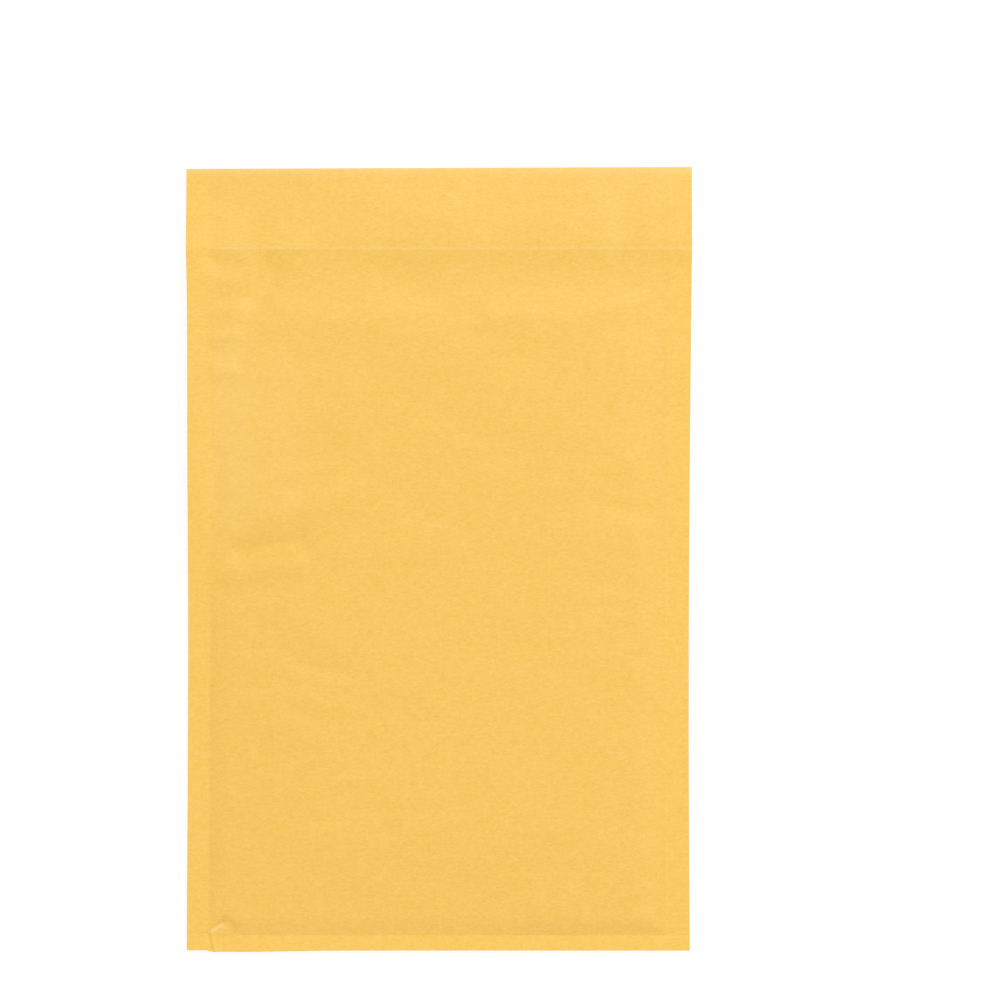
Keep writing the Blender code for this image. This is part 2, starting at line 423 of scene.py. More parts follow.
    def padding(self, x: Array, y: Array, quick: Array) -> Array:
        """Share of the full height that the sides and the bottom leave, from 0 to 1.

        Args:
            x: places across, in millimetres.
            y: places along, in millimetres.
            quick: the part of the rise that the paper makes close to the seals.

        Returns:
            The share, with a crisp start at the seals except along the upper left.
        """
        left = x - self.left_edge(y) - self.seal_mm
        right = self.right_edge(y) - x - self.seal_mm
        bottom = y - self.bottom_mm - self.tuck_mm
        crisp = between(smooth(left / self.soft_left_mm), quick_rise(left / self.crisp_left_mm),
                        smooth((-6.0 - y) / 16.0))
        chamfer = np.maximum(right / self.crisp_right_mm, 0.0)
        chamfer = soft_min(chamfer, np.ones_like(right), 0.25)
        chamfer = between(smooth(right / self.soft_right_mm), chamfer, smooth((50.0 - y) / 60.0))
        sides = soft_min(crisp, chamfer, 0.05)
        near = soft_min(sides, quick_rise(bottom / self.crisp_bottom_mm), 0.10)
        pinched = np.hypot((x + 106.2) / 6.2, bottom / 8.7)
        near = np.maximum(near, 0.0) * smooth((pinched - 0.64) / 0.60)
        far_left, far_right = self.far_side_mm
        far = smooth(left / far_left) * smooth(right / far_right)
        far = far * smooth(bottom / self.far_bottom_mm)
        return between(far, near, quick)

    def front(self, x: Array, y: Array) -> Array:
        """Height of the front's outer face, and of the flap's past the crease."""
        body_y = np.minimum(y, self.crease_mm)
        below = self.crease_mm - body_y
        corner = self.corner_share(x, below)
        fall = quick_rise(below / self.valley_mm)
        ridge = between(self.ridge_share, self.valley_share, fall) * corner
        ramp = np.clip((below - self.valley_mm) / self.ramp_mm, 0.0, 1.0)
        mouth = between(ridge, 1.0, smooth(ramp ** 1.25))
        quick = self.sided(self.quick_left, self.quick_right, x)
        padding = self.padding(x, body_y, quick)
        share = np.maximum(soft_min(padding, mouth, 0.14), 0.0)
        seam = self.seam_middle(body_y) + self.half_ply(body_y)
        top = self.thick_mm - self.plateau_drop_mm
        height = between(seam, top, share) + self.lift(x, body_y) * (1 - padding)
        height = height + self.ripple(x, body_y, 0) * np.minimum(share * 1.6, 1.0)
        height = self.flap(height, x, y)
        return height + self.relief(FRONT_DENTS, x, y)

    def relief(self, dents: Sequence[Dent], x: Array, y: Array) -> Array:
        """Height that a set of dents adds at each point."""
        total = np.zeros(np.broadcast(x, y).shape)
        for dent in dents:
            total += dent.relief(x, y)
        return total

    def flap(self, crease_height: Array, x: Array, y: Array) -> Array:
        """Height of the flap, from the crease down to its free edge; the body is left as it is."""
        past = np.maximum(y - self.crease_mm, 0.0)
        share = np.minimum(past / self.flap_mm, 1.0)
        fall = between(1 - (1 - share) ** 1.6, share ** 1.4, smooth((x + 100.0) / 62.0))
        level = between(crease_height, self.flap_end_mm, fall)
        stiff = 0.26 * smooth((past - 0.6) / 4.8) * (1 - share) * smooth((x + 70.0) / 30.0)
        lip = -0.60 * smooth((past - self.flap_mm + 2.6) / 2.6)
        wave = self.ripple(x, y, 3) * smooth(share * 2.5)
        return level + np.where(past > 0, stiff + lip + wave, 0.0)

    def back(self, x: Array, y: Array) -> Array:
        """Height of the back's outer face, which the front's grooves press down."""
        below = self.crease_mm - y
        corner = self.corner_share(x, below)
        lifted = smooth(below / (self.valley_mm + self.ramp_mm))
        mouth = between(0.66 * corner, 1.0, lifted)
        share = np.maximum(soft_min(self.padding(x, y, self.quick_back), mouth, 0.06), 0.0)
        seam = self.seam_middle(y) + self.lift(x, y) - self.half_ply(y)
        height = seam * (1 - share) + 0.5 * np.abs(self.ripple(x, y, 7)) * share
        pressed = self.front(x, y) - 2 * self.half_ply(y)
        return np.maximum(np.minimum(height + self.relief(BACK_DENTS, x, y), pressed), 0.0)

    def layer(self, depth: float, x: Array, y: Array) -> tuple[Array, Array]:
        """Heights, on the front and on the back, of a face that lies inside the outer faces.

        Args:
            depth: how deep it lies in the seals, in millimetres. It lies a little deeper
                where the padding gives it room.
            x: places across, in millimetres.
            y: places along, in millimetres.
        """
        top, under = self.front(x, y), self.back(x, y)
        room = np.maximum(top - under - 2 * self.half_ply(y), 0.0)
        inset = depth + (depth > 0) * np.minimum(0.15 * room, 0.3)
        return top - inset, under + inset


class Half(Enum):
    """The halves of a web that is folded in two, and the turn between them."""

    BACK = "back"
    FOLD = "fold"
    FRONT = "front"


@dataclass(frozen=True)
class FoldedWeb:
    """A sheet that is laid flat, folded in two at the bottom and given its thickness.

    inset_mm is how far its outer face lies inside the kraft's outer face. columns and the
    two sets of rows are the places of its grid lines.
    """

    form: EnvelopeForm
    inset_mm: float
    fold_mm: float
    thickness_mm: float
    columns: Array
    back_rows: Array
    front_rows: Array
    fold_steps: int = 6

    def lines(self) -> list[tuple[Half, float]]:
        """Every line across the web, in order along it: its half, and its y or its turn."""
        back = [(Half.BACK, y) for y in self.back_rows[::-1]]
        turns = [(Half.FOLD, math.pi * n / self.fold_steps) for n in range(1, self.fold_steps)]
        return back + turns + [(Half.FRONT, y) for y in self.front_rows]

    def points(self) -> tuple[Array, Array]:
        """Works out where each vertex of the flat sheet goes.

        Returns:
            The places and the flat sheet's own coordinates, both in millimetres.
        """
        places, flat = [], []
        start = self.back_rows[0]
        x0 = self.form.across(self.columns, np.full_like(self.columns, start))
        y0 = self.form.along(x0, np.full_like(x0, start))
        top, under = self.form.layer(self.inset_mm, x0, np.full_like(x0, start))
        middle, radius = (top + under) / 2, (top - under) / 2
        for half, value in self.lines():
            if half is Half.FOLD:
                x, y = x0, y0 - radius * math.sin(value)
                z = middle - radius * math.cos(value)
                length = 0.0
            else:
                nominal = np.full_like(self.columns, value)
                x = self.form.across(self.columns, nominal)
                y = self.form.along(x, nominal)
                z = self.form.layer(self.inset_mm, x, nominal)[0 if half is Half.FRONT else 1]
                length = (value - self.fold_mm) * (1 if half is Half.FRONT else -1)
            places.append(np.stack((x, y, z), axis=1))
            flat.append(np.stack((self.columns, np.full_like(x, length)), axis=1))
        return np.array(places), np.array(flat)

    def build(self, name: str, finishes: Sequence[Material]) -> Object:
        """Lays out the sheet, folds it and thickens it inwards."""
        return lay_sheet(name, *self.points(), self.thickness_mm, finishes)


def vertex_places(mesh: bpy.types.Mesh) -> Array:
    """The places of a mesh's vertices, a row of x, y and z for each."""
    places = np.empty(len(mesh.vertices) * 3)
    mesh.vertices.foreach_get("co", places)
    return places.reshape(-1, 3)


def lay_sheet(name: str, places: Array, flat: Array, thickness_mm: float,
              finishes: Sequence[Material]) -> Object:
    """Lays out a sheet as a grid of vertices and gives it its thickness on the inner side.

    Args:
        name: the piece's name.
        places: rows by columns by 3, the places of its outer face, in millimetres.
        flat: rows by columns by 2, the same places on the flat sheet, in millimetres.
        thickness_mm: how thick it is.
        finishes: the material of its outer face, and last that of its inner face and edges.

    Returns:
        The finished sheet.
    """
    rows, columns = places.shape[:2]
    bpy.ops.object.select_all(action="DESELECT")
    bpy.ops.mesh.primitive_grid_add(x_subdivisions=columns - 1, y_subdivisions=rows - 1, size=1.0)
    sheet = bpy.context.object
    mesh = sheet.data
    sheet.name = mesh.name = name
    unit = vertex_places(mesh)
    column = np.rint((unit[:, 0] + 0.5) * (columns - 1)).astype(int)
    row = np.rint((unit[:, 1] + 0.5) * (rows - 1)).astype(int)
    mesh.vertices.foreach_set("co", places[row, column].ravel() * MM)
    corner = np.empty(len(mesh.loops), dtype=np.int32)
    mesh.loops.foreach_get("vertex_index", corner)
    layer = mesh.uv_layers.active or mesh.uv_layers.new()
    layer.name = "sheet"
    layer.data.foreach_set("uv", flat[row, column][corner].ravel() * MM)
    mesh.update()
    for finish in finishes:
        mesh.materials.append(finish)
    wall = sheet.modifiers.new("wall", "SOLIDIFY")
    wall.thickness = thickness_mm * MM
    wall.offset = -1.0
    wall.material_offset = wall.material_offset_rim = len(finishes) - 1
    bpy.ops.object.modifier_apply(modifier=wall.name)
    bpy.ops.object.shade_smooth_by_angle(angle=math.radians(42))
    return sheet


def add_mask(piece: Object, name: str, rule: Field) -> None:
    """Stores a field over a piece as a point attribute that its material can read.

    Args:
        piece: the object.
        name: the attribute's name.
        rule: gives the values from the places, a row of x, y and z for each, in millimetres.
    """
    layer = piece.data.attributes.new(name, "FLOAT", "POINT")
    values = rule(vertex_places(piece.data) / MM)
    layer.data.foreach_set("value", values.astype(np.float32))


@dataclass(frozen=True)
class Mottle:
    """One scale of unevenness in a paper's colour: its size, its stretch and its strength."""

    across_mm: float
    along_mm: float
    detail: float
    amount: float


@dataclass(frozen=True)
class KraftPaper:
    """Golden machine-glazed kraft, 90 g/m2: long fibres pressed smooth against a hot drum.

    The eye reads a warm matt gold with soft clouds where the fibres lie thicker, fine
    sideways streaks from the drum, a dense fibrous grain and a few darker flecks.
    """

    name: str
    light: str
    dark: str
    fleck: str
    roughness: float
    grain_mm: float
    cockle_mm: float = 7.0
    mottles: tuple[Mottle, ...] = (
        Mottle(30.0, 24.0, 2.0, 0.10),
        Mottle(9.0, 5.0, 2.0, 0.26),
        Mottle(3.6, 1.5, 1.0, 0.50),
        Mottle(1.4, 0.9, 1.0, 0.62),
    )

    def build(self) -> Material:
        """Makes the material: its mottled colour, its uneven gloss and its fibre relief."""
        made, nodes, shader = new_material(self.name)
        sheet = nodes.sheet()
        share = 0.5
        for mottle in self.mottles:
            place = nodes.stretch(sheet, mottle.across_mm, mottle.along_mm)
            cloud = nodes.remap(nodes.noise(place, 1.0, mottle.detail, 0.6), NOISE_SPAN,
                                (-mottle.amount, mottle.amount), clamp=False)
            share = nodes.math("ADD", share, cloud)
        colour = nodes.mix(share, self.dark, self.light, clamp=False)
        fibre = nodes.noise(sheet, 1 / (self.grain_mm * MM), 3.0, 0.65)
        cockle = nodes.noise(sheet, 1 / (self.cockle_mm * MM), 2.0)
        nodes.fill(shader, {
            "Base Color": self.add_pale_seals_and_painted_highlights(nodes, self.add_flecks(nodes, sheet, colour)),
            "Roughness": nodes.remap(fibre, NOISE_SPAN,
                                     (self.roughness - 0.06, self.roughness + 0.08)),
            "Normal": nodes.bump(fibre, 0.02, under=nodes.bump(cockle, 0.05)),
            "Specular IOR Level": 0.50})
        return made

    def add_flecks(self, nodes: Nodes, sheet: Socket, colour: Socket) -> Socket:
        """Adds sparse darker fibres, drawn about 1 mm long so that they show at all."""
        place = nodes.stretch(sheet, 1.4, 0.6, turn=0.35)
        share = nodes.remap(nodes.noise(place, 1.0, 1.0, 0.4), (0.70, 0.80), (0.0, 0.22))
        return nodes.mix(share, colour, self.fleck)

    def add_pale_seals_and_painted_highlights(self, nodes: Nodes, colour: Socket) -> Socket:
        """Pales the pressed seals, which are denser, and through the crease mask pales a line
        along the crease and paints a highlight along the flap's edge and patches of sheen and
        glint.
        """
        lift = nodes.remap(nodes.mask("seal"), (0.0, 1.0), (1.0, 1.045))
        lifted = nodes.add("ShaderNodeVectorMath", {0: colour, "Scale": lift}, operation="SCALE")
        # Mixes towards a pale tint by the crease mask: a pale crease line, plus painted highlight,
        # painted sheen and a painted glint.
        return nodes.mix(nodes.mask("crease"), lifted.outputs["Vector"], "FFE0A0")


@dataclass(frozen=True)
class BubbleFilm:
    """Clear low-density polyethylene blown film: thin, waxy and faintly milky.

    The eye reads it mostly by its soft glints and the milky rims of its bubbles.
    """

    name: str = "clear_polyethylene_film"
    clear: str = "EEF3F4"
    milky: str = "E2E9EB"
    roughness: float = 0.22
    alpha: float = 0.32
    haze_mm: float = 6.0

    def build(self) -> Material:
        """Makes the film, with faint flow lines in its gloss."""
        made, nodes, shader = new_material(self.name)
        place = nodes.add("ShaderNodeTexCoord").outputs["Object"]
        haze = nodes.noise(place, 1 / (self.haze_mm * MM), 3.0)
        nodes.fill(shader, {
            "Base Color": nodes.mix(haze, self.milky, self.clear),
            "Roughness": nodes.remap(haze, NOISE_SPAN,
                                     (self.roughness - 0.05, self.roughness + 0.08)),
            "Normal": nodes.bump(haze, 0.05, strength=0.5),
            "IOR": 1.51, "Alpha": self.alpha})
        return made


@dataclass(frozen=True)
class HotMelt:
    """Pressure-sensitive hot-melt adhesive, coated as a thin ribbed layer.

    The eye reads a pale honey gum with a wet shine where it shows past the liner.
    """

    name: str = "pressure_sensitive_hot_melt"
    thin: str = "EFE3B8"
    thick: str = "E3CF92"

    def build(self) -> Material:
        """Makes the gum, with fine coating lines across the strip."""
        made, nodes, shader = new_material(self.name)
        coat = nodes.noise(nodes.stretch(nodes.sheet(), 14.0, 0.9), 1.0, 2.0)
        nodes.fill(shader, {
            "Base Color": nodes.mix(coat, self.thick, self.thin),
            "Normal": nodes.bump(coat, 0.03), "Roughness": 0.22})
        return made


@dataclass(frozen=True)
class ReleasePaper:
    """Bleached paper with a silicone coat, printed with rows of plain red dashes.

    The eye reads a cool pinkish white with a slick sheen, and the red rows at a glance.
    """

    name: str = "silicone_release_paper"
    white: str = "F8EBE4"
    shade: str = "F1E1DA"
    ink: str = "DE5A48"
    fibre_mm: float = 2.2
    row_mm: float = 6.0
    mark_mm: float = 2.6
    period_mm: float = 73.0
    printed_mm: float = 58.0
    dash_mm: float = 11.6
    dash_share: float = 0.84

    def build(self) -> Material:
        """Makes the paper and its print."""
        made, nodes, shader = new_material(self.name)
        sheet = nodes.sheet()
        fibre = nodes.noise(sheet, 1 / (self.fibre_mm * MM), 4.0, 0.6)
        paper = nodes.mix(fibre, self.shade, self.white)
        nodes.fill(shader, {
            "Base Color": nodes.mix(self.add_dashes(nodes, sheet, fibre), paper, self.ink),
            "Normal": nodes.bump(fibre, 0.01),
            "Roughness": 0.34, "Specular IOR Level": 0.45})
        return made

    def add_dashes(self, nodes: Nodes, sheet: Socket, fibre: Socket) -> Socket:
        """Lays out the print: groups of dashes, with every other row half a period along.

        Args:
            nodes: the material's nodes.
            sheet: the flat coordinates in metres, with rows stacked along the second.
            fibre: the paper's fibre noise, which leaves small gaps in the ink.

        Returns:
            The share of ink, from 0 to 1.
        """
        place = nodes.add("ShaderNodeSeparateXYZ", {"Vector": sheet}).outputs
        row, period, dash = self.row_mm * MM, self.period_mm * MM, self.dash_mm * MM
        number = nodes.math("FLOOR", nodes.math("DIVIDE", place["Y"], row))
        along = nodes.math("ADD", place["X"], nodes.math("MULTIPLY", number, period / 2))
        group = nodes.math("FLOORED_MODULO", along, period)
        within = nodes.math("FLOORED_MODULO", group, dash)
        height = nodes.math("FLOORED_MODULO", place["Y"], row)
        ink = nodes.remap(fibre, (0.28, 0.40), (0.72, 0.95))
        for test in (nodes.math("LESS_THAN", group, self.printed_mm * MM),
                     nodes.math("LESS_THAN", within, dash * self.dash_share),
                     nodes.math("COMPARE", height, row / 2, self.mark_mm * MM / 2)):
            ink = nodes.math("MULTIPLY", ink, test)
        return ink


@dataclass(frozen=True)
class KraftEnvelope:
    """The folded kraft web with its sealed sides, its mouth and its flap."""

    form: EnvelopeForm
    node: str = "kraft_envelope"
    crease_pale: float = 0.24
    # Painted highlight: how strongly a band along the flap's upper edge is paled, where the
    # curled-down edge faces the lamp, and how wide the band is.
    painted_edge_highlight: float = 0.27
    painted_edge_highlight_mm: float = 3.2
    # Painted sheen and glint: a painted glint on a crumpled facet at the bottom left corner, then
    # two broad patches of painted sheen on the upper left. Each Dent's height here is the strength
    # of the pale tint, not a height.
    painted_sheen_spots: tuple[Dent, ...] = (
        Dent(-112.9, -184.9, -107.0, -181.3, 0.62, 0.62),
        Dent(-104.0, 100.0, -100.0, 24.0, 0.11, 11.0),
        Dent(-78.0, 96.0, -74.0, 32.0, 0.060, 12.0),
    )

    def column_lines(self) -> Array:
        """Grid lines across the web, close together at the seals."""
        half, seal = self.form.half_mm, self.form.seal_mm
        left = [(-half, 0.7), (-half + 1.5, 2.0), (-half + seal - 2.0, 1.0),
                (-half + seal - 0.6, 0.36), (-half + seal + 2.0, 0.45), (-half + seal + 12, 0.7),
                (-half + seal + 15, 1.5), (-half + 60, 2.1), (-half + 75, 3.8)]
        right = [(half - 24, 3.8), (half - seal - 6, 1.4), (half - seal - 1.4, 0.45),
                 (half - seal + 0.6, 0.36), (half - seal + 2.0, 1.0), (half - 1.5, 2.0),
                 (half, 0.7)]
        return graded_lines(left + right)

    def front_lines(self) -> Array:
        """Grid lines along the front and the flap, close at the tuck, crease and edge."""
        form = self.form
        fold, tuck, crease = form.marks
        return graded_lines([
            (fold, 0.5), (fold + 1.5, 1.3), (tuck - 1.8, 0.7), (tuck - 0.8, 0.36),
            (tuck + 1.6, 0.42), (tuck + 9, 0.7), (tuck + 22, 1.7), (crease - 75, 1.7),
            (crease - 45, 1.4), (crease - 8, 1.1), (crease - 2.0, 0.42), (crease + 1.0, 0.34),
            (crease + 5.0, 0.8), (crease + 14, 2.0), (form.top_mm - 6, 1.6),
            (form.top_mm - 2.8, 0.7), (form.top_mm, 0.5)])

    def back_lines(self) -> Array:
        """Grid lines along the back, close at the tuck and the mouth."""
        form = self.form
        fold, tuck, crease = form.marks
        return graded_lines([
            (fold, 0.5), (fold + 1.5, 1.6), (tuck - 0.8, 0.6), (tuck + 1.6, 0.6),
            (tuck + 10, 2.0), (tuck + 30, 4.2), (crease - 70, 4.2), (crease - 30, 2.4),
            (crease - 3, 1.2), (crease, 0.6)])

    def seal_mask(self, places: Array) -> Array:
        """How hard the seals and the bottom tuck are pressed, from 0 on the padded body to 1."""
        form = self.form
        x, y = places.T[:2]
        left = smooth(1 - (x - form.left_edge(y) - form.seal_mm) / 1.4)
        right = smooth(1 - (form.right_edge(y) - x - form.seal_mm) / 1.4)
        bottom = smooth(1 - (y - form.bottom_mm - form.tuck_mm) / 1.8)
        return np.maximum(np.maximum(left, right) * 0.5, bottom)

    def crease_line_and_painted_highlight_mask(self, places: Array) -> Array:
        """Strength of the pale line along the crease, of the painted highlight along the flap's
        upper edge and of the painted sheen and glint.

        All of them are on the front half of the web alone.
        """
        x, y, z = places.T
        on_front = z > (self.form.front(x, y) + self.form.back(x, y)) / 2
        line = np.exp(-((y - self.form.crease_mm) / 0.5) ** 2) * smooth((x + 118.0) / 14.0)
        # Painted highlight: a pale band along the flap's upper edge.
        edge = np.exp(-((y - self.form.top_mm) / self.painted_edge_highlight_mm) ** 2)
        # Painted sheen on the upper left and a painted glint at the bottom left corner.
        painted_sheen = self.form.relief(self.painted_sheen_spots, x, y)
        return (self.crease_pale * line + self.painted_edge_highlight * edge + painted_sheen) * on_front

    def build(self) -> Object:
        """Makes the web and stands it in for its node."""
        outside = KraftPaper("machine_glazed_kraft", "FACA61", "F6C453", "C98F3C",
                             roughness=0.45, grain_mm=0.9)
        inside = KraftPaper("unglazed_kraft", "F9C65E", "F4BD50", "C48A38",
                            roughness=0.72, grain_mm=1.1)
        web = FoldedWeb(self.form, 0.0, self.form.bottom_mm, self.form.paper_mm,
                        self.column_lines(), self.back_lines(), self.front_lines())
        piece = web.build("kraft_web", (outside.build(), inside.build()))
        add_mask(piece, "seal", self.seal_mask)
        # The crease attribute carries the pale crease line and also the painted highlight, sheen
        # and glint.
        add_mask(piece, "crease", self.crease_line_and_painted_highlight_mask)
        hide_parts(self.node)
        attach(piece, BODY)
        return piece


@dataclass(frozen=True)
class BubbleLining:
    """The folded bubble film: a flat film against the paper and its bubbles on the inside."""

    form: EnvelopeForm
    node: str = "bubble_lining"
    setback_mm: float = 16.0
    clear_mm: float = 0.10
    pitch_mm: float = 11.6
    radius_mm: float = 5.0
    bubble_mm: float = 3.1
    sides: int = 12
    pocket_mm: float = 0.3

    @property
    def inset_mm(self) -> float:
        """How far the film's outer face lies inside the kraft's outer face."""
        return self.form.paper_mm + self.clear_mm

    def film(self) -> Object:
        """Makes the flat film, which runs out to the sides between the sealed papers."""
        form = self.form
        half = form.half_mm - 0.5
        tuck, end = form.bottom_mm + form.tuck_mm, form.crease_mm - self.setback_mm
        columns = graded_lines([(-half, 2.4), (-half + 8, 0.6), (-half + 19, 0.7),
                                (-half + 28, 2.3), (-half + 60, 3.0), (half - 24, 4.4),
                                (half - 13, 0.8), (half - 9, 1.0), (half, 2.4)])
        rows = graded_lines([(tuck, 0.5), (tuck + 7, 0.6), (tuck + 16, 2.9), (end, 3.1)])
        web = FoldedWeb(form, self.inset_mm, tuck, form.film_mm, columns, rows, rows)
        return web.build("bubble_lining_film", (BubbleFilm().build(),))

    def bubble(self) -> tuple[Array, list[tuple[int, ...]]]:
        """Shapes one bubble: a short drum, open below, with its top edge rounded over.

        Returns:
            Its vertices with a radius and a height of 1, and its faces.
        """
        bpy.ops.object.select_all(action="DESELECT")
        bpy.ops.mesh.primitive_cylinder_add(vertices=self.sides, radius=1.0, depth=1.0,
                                            location=(0, 0, 0.5))
        drum = bpy.context.object
        bpy.ops.object.transform_apply(location=True, rotation=False, scale=False)
        for edge in drum.data.edges:
            edge.select = all(drum.data.vertices[n].co.z > 0.99 for n in edge.vertices)
        for part in (*drum.data.vertices, *drum.data.polygons):
            part.select = False
        bpy.ops.object.mode_set(mode="EDIT")
        bpy.ops.mesh.select_mode(type="EDGE")
        bpy.ops.mesh.bevel(offset=0.52, offset_type="OFFSET", segments=2, profile=0.55,
                           affect="EDGES")
        bpy.ops.object.mode_set(mode="OBJECT")
        places = np.array([vertex.co[:] for vertex in drum.data.vertices])
        faces = [tuple(polygon.vertices) for polygon in drum.data.polygons
                 if polygon.center.z > 0.01]
        mesh = drum.data
        bpy.data.objects.remove(drum)
        bpy.data.meshes.remove(mesh)
        return places, faces

    def centres(self) -> Array:
        """Places of the bubbles on one half, in close-packed rows, in millimetres."""
        form = self.form
        step = self.pitch_mm * math.sqrt(3) / 2
        end = form.crease_mm - self.setback_mm - self.radius_mm - 0.8
        count = int((end - form.bottom_mm - form.tuck_mm) / step)
        reach = form.half_mm - form.seal_mm
        places = []
        for row in range(count + 1):
            start = 1.5 - reach + (row % 2) * self.pitch_mm / 2
            places += [(x, end - row * step) for x in np.arange(start, reach, self.pitch_mm)]
        return np.array(places)

    def bubbles(self) -> Object:
        """Sets a bubble on each place of both halves, squeezed where the lining is thin."""
        form = self.form
        unit, faces = self.bubble()
        inner = self.inset_mm + form.film_mm
        x, y = self.centres().T
        top, under = form.layer(inner, x, y)
        room = (top - under) / 2 - self.pocket_mm
        edge = self.radius_mm * 0.8
        turns = np.linspace(0, 2 * math.pi, 8, endpoint=False)[:, None]
        ring_x, ring_y = x + edge * np.cos(turns), y + edge * np.sin(turns)
        top, under = form.layer(inner, ring_x, ring_y)
        kept = (room > 0.7) & ((top - under).min(axis=0) > 0.3)
        x, y, room = x[kept], y[kept], room[kept]
        across = self.radius_mm * np.minimum(1.0, 0.62 + 0.38 * room / self.bubble_mm)
        px = x[:, None] + across[:, None] * unit[:, 0]
        py = y[:, None] + across[:, None] * unit[:, 1]
        front, back = form.layer(inner, px, py)
        rise = np.clip((front - back) / 2 - self.pocket_mm, 0.0, self.bubble_mm) * unit[:, 2]
        upper = np.stack((px, py, front - rise), axis=2)
        lower = np.stack((px, py, back + rise), axis=2)
        places = np.concatenate((upper, lower)).reshape(-1, 3) * MM
        polygons = []
        for number in range(2 * len(x)):
            start = number * len(unit)
            turned = number < len(x)
            polygons += [tuple(start + n for n in (face[::-1] if turned else face))
                         for face in faces]
        mesh = bpy.data.meshes.new("bubble_lining_bubbles")
        mesh.from_pydata(places.tolist(), [], polygons)
        mesh.update()
        return bpy.data.objects.new("bubble_lining_bubbles", mesh)

    def build(self) -> Object:
        """Joins the film and its bubbles into the lining that stands in for its node."""
        film = self.film()
        bubbles = self.bubbles()
        bpy.context.collection.objects.link(bubbles)
        bubbles.data.materials.append(film.data.materials[0])
        bpy.ops.object.select_all(action="DESELECT")
        bubbles.select_set(True)
        film.select_set(True)
        bpy.context.view_layer.objects.active = film
        bpy.ops.object.join()
        bpy.ops.object.shade_smooth_by_angle(angle=math.radians(50))
        film.name = film.data.name = "bubble_film_lining"
        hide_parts(self.node)
        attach(film, BODY)
        return film


@dataclass(frozen=True)
class FlapStrip:
    """A thin strip along the underside of the flap, such as the adhesive or its liner."""

    form: EnvelopeForm
    node: str
    name: str
    slot: str
    centre_mm: float
    width_mm: float
    drop_mm: float
    thickness_mm: float
    short_mm: float
    slack_mm: float

    def top(self, x: Array, y: Array) -> Array:
        """Height of its upper face, which follows the flap and sags where it is slack."""
        slack = 0.5 + 0.5 * np.sin(x / 7.3 + 1.1 * np.sin(x / 23.0) + y / 19.0)
        return self.form.front(x, y) - self.form.paper_mm - self.drop_mm - self.slack_mm * slack

    def build(self, finish: Material) -> Object:
        """Makes the strip and stands it in for its node.

        Args:
            finish: its material.

        Returns:
            The finished object.
        """
        half = self.form.half_mm - self.short_mm
        columns = np.linspace(-half, half, 150)
        low = self.centre_mm - self.width_mm / 2
        rows = np.linspace(low, self.centre_mm + self.width_mm / 2, 15)
        nominal_x, nominal_y = np.meshgrid(columns, rows)
        x = self.form.across(nominal_x, nominal_y)
        y = self.form.along(x, nominal_y)
        flat = np.stack((nominal_x, nominal_y - self.centre_mm + self.width_mm / 2), axis=2)
        places = np.stack((x, y, self.top(x, nominal_y)), axis=2)
        strip = lay_sheet(self.name, places, flat, self.thickness_mm, (finish,))
        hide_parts(self.node)
        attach(strip, BODY)
        return strip


@dataclass(frozen=True)
class PeelSeal:
    """The adhesive under the flap and the release liner over it."""

    form: EnvelopeForm
    margin_mm: float = 5.0
    liner_mm: float = 30.0
    gum_mm: float = 24.0
    gum_thick_mm: float = 0.12
    liner_thick_mm: float = 0.09
    clear_mm: float = 0.02

    def build(self) -> list[Object]:
        """Makes both strips, the adhesive first."""
        centre = self.form.top_mm - self.margin_mm - self.liner_mm / 2
        gum = FlapStrip(self.form, "adhesive_strip", "adhesive_coat", "hot_melt_adhesive", centre,
                        self.gum_mm, self.clear_mm, self.gum_thick_mm, short_mm=1.5,
                        slack_mm=0.0)
        liner = FlapStrip(self.form, "release_liner", "printed_release_liner", "release_paper",
                          centre, self.liner_mm, self.gum_thick_mm + 2 * self.clear_mm,
                          self.liner_thick_mm, short_mm=0.4, slack_mm=0.10)
        return [gum.build(HotMelt().build()), liner.build(ReleasePaper().build())]


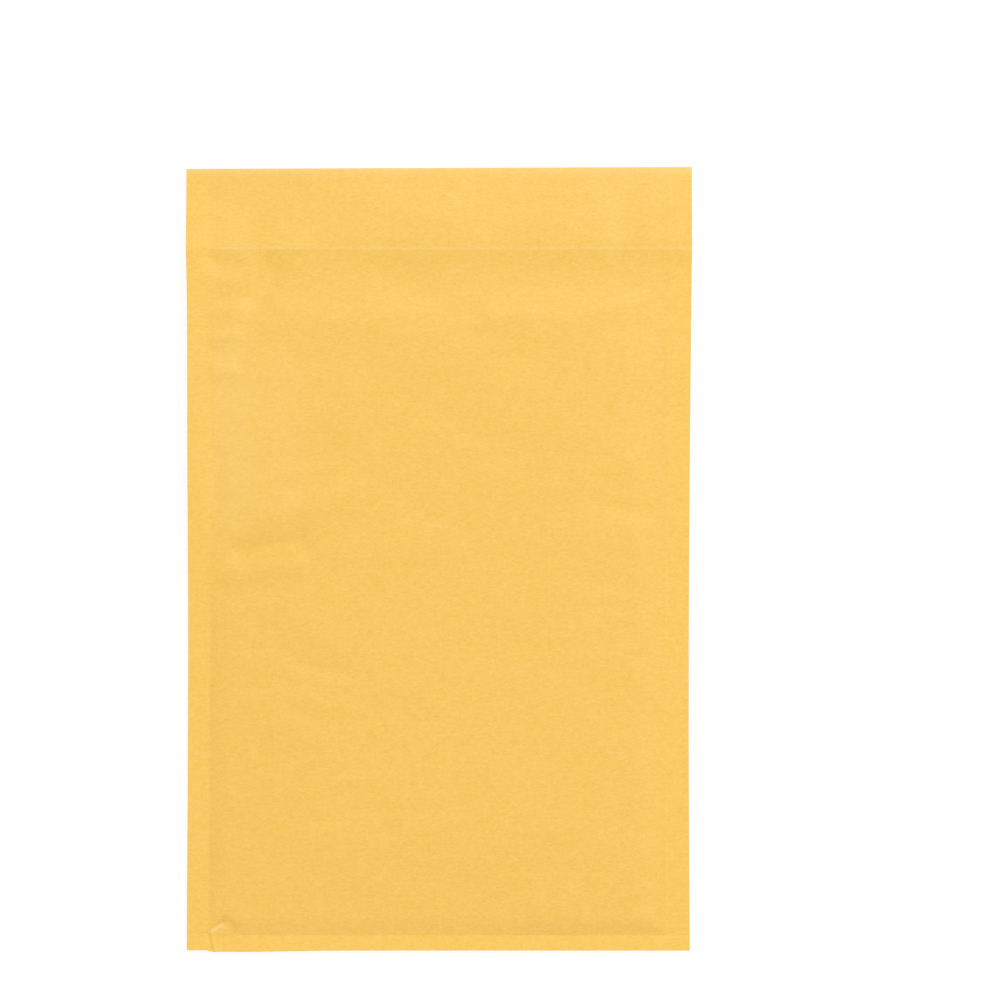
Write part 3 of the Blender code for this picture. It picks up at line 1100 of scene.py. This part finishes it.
@dataclass(frozen=True)
class Studio:
    """A pale floor, a soft lamp from the upper right, an even sky and the camera.

    The lamp and the sky together light a level white surface to just under white.
    """

    form: EnvelopeForm
    camera_height: float = 1.8
    view_width: float = 0.496
    aim: tuple[float, float] = (0.0303, 0.0292)
    sky: float = 0.732
    lamp_share: float = 0.275
    lamp_distance: float = 5.0
    lamp_size: float = 2.04
    lamp_tilt: float = math.radians(35)
    lamp_turn: float = math.radians(52.5)
    floor_colour: str = "7E7E7E"
    floor_glow: float = 0.845
    clip: tuple[float, float] = (0.01, 60.0)

    def build(self) -> None:
        """Makes every part of the set."""
        self.add_floor()
        self.add_lamp()
        self.add_sky()
        self.add_camera()
        bpy.context.scene.view_settings.view_transform = "Standard"

    def add_floor(self) -> None:
        """Adds the floor, which shows white to the camera and keeps the shadow.

        From below it is clear, and it lets the sky's light through to the envelope's underside,
        so that the underside can be looked at too.
        """
        bpy.ops.object.select_all(action="DESELECT")
        bpy.ops.mesh.primitive_plane_add(size=12.0, location=(0, 0, -0.0003))
        floor = bpy.context.object
        floor.name = "studio_floor"
        made, nodes, shader = new_material("white_sweep_paper")
        path = nodes.add("ShaderNodeLightPath").outputs
        nodes.fill(shader, {
            "Base Color": linear(self.floor_colour), "Roughness": 0.95,
            "Specular IOR Level": 0.0, "Emission Color": WHITE,
            "Emission Strength": nodes.math("MULTIPLY", path["Is Camera Ray"], self.floor_glow)})
        side = nodes.add("ShaderNodeNewGeometry").outputs
        unseen = nodes.math("MAXIMUM", side["Backfacing"], path["Is Diffuse Ray"])
        clear = nodes.add("ShaderNodeBsdfTransparent").outputs
        mixed = nodes.add("ShaderNodeMixShader", {
            0: unseen, 1: shader.outputs["BSDF"], 2: clear["BSDF"]})
        nodes.fill(nodes.tree.nodes["Material Output"], {"Surface": mixed.outputs["Shader"]})
        floor.data.materials.append(made)

    def add_lamp(self) -> None:
        """Adds the large soft lamp above the upper right of the picture."""
        away = Vector((math.sin(self.lamp_tilt) * math.cos(self.lamp_turn),
                       math.sin(self.lamp_tilt) * math.sin(self.lamp_turn),
                       math.cos(self.lamp_tilt)))
        lamp = bpy.data.lights.new("soft_lamp", "AREA")
        lamp.shape = "DISK"
        lamp.size = self.lamp_size
        per_area = self.lamp_share * math.pi / math.cos(self.lamp_tilt)
        lamp.energy = per_area * math.pi * self.lamp_distance ** 2
        holder = bpy.data.objects.new("soft_lamp", lamp)
        holder.location = away * self.lamp_distance
        holder.rotation_euler = away.to_track_quat("Z", "Y").to_euler()
        holder.visible_camera = False
        bpy.context.scene.collection.objects.link(holder)

    def add_sky(self) -> None:
        """Adds the even sky, which the camera sees as white."""
        world = bpy.data.worlds.new("soft_sky")
        bpy.context.scene.world = world
        world.use_nodes = True
        nodes = Nodes(world.node_tree)
        path = nodes.add("ShaderNodeLightPath").outputs
        nodes.fill(nodes.tree.nodes["Background"], {
            "Color": WHITE,
            "Strength": nodes.remap(path["Is Camera Ray"], (0.0, 1.0), (self.sky, 1.0))})

    def add_camera(self) -> None:
        """Adds the camera, straight above and looking down, as the photograph was taken."""
        lens = bpy.data.cameras.new("camera")
        level = self.form.middle_mm * MM
        lens.sensor_width = 36.0
        lens.lens = lens.sensor_width * (self.camera_height - level) / self.view_width
        lens.clip_start, lens.clip_end = self.clip
        holder = bpy.data.objects.new("camera", lens)
        holder.location = (self.aim[0], self.aim[1], self.camera_height)
        bpy.context.scene.collection.objects.link(holder)
        bpy.context.scene.camera = holder


def main() -> None:
    """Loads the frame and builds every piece."""
    logging.basicConfig(level=logging.INFO, format="%(name)s: %(message)s")
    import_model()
    form = EnvelopeForm.from_frame()
    pieces = [KraftEnvelope(form).build(), BubbleLining(form).build(), *PeelSeal(form).build()]
    for piece in pieces:
        piece.data.calc_loop_triangles()
        LOG.info("%s: %d triangles", piece.name, len(piece.data.loop_triangles))
    Studio(form).build()


if __name__ == "__main__":
    main()
